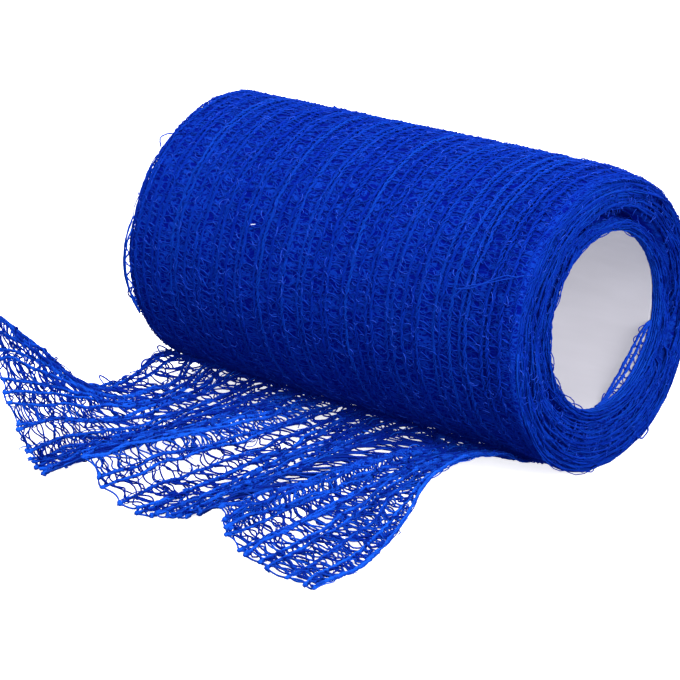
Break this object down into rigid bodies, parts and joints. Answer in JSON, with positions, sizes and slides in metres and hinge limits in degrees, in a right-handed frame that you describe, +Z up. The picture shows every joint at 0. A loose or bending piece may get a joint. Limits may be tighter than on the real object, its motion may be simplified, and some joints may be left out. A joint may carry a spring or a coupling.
{
  "type": "cohesive bandage roll",
  "caption": "Open-knit blue cohesive bandage wound on a white tube, with its free end laid out in soft folds and a selvedge strip turned into the bore.",
  "frame": {"origin": "middle of the flat spot on which the roll rests", "axes": "+X along the roll's axis towards the end whose bore shows, -Y the way the loose end runs out, +Z up"},
  "size_m": [0.1017, 0.1136, 0.0588],
  "materials": {
    "core_tube": "smooth white tube with a faint sheen",
    "wound_bandage": "matte royal blue knitted yarn with fine fuzz",
    "loose_bandage": "matte royal blue open net of knitted yarn",
    "flap_bandage": "matte royal blue open net of knitted yarn"
  },
  "bodies": {
    "root": {"core": "core_tube", "roll": "wound_bandage", "loose_end": "loose_bandage", "inner_flap": "flap_bandage"}
  },
  "joints": []
}
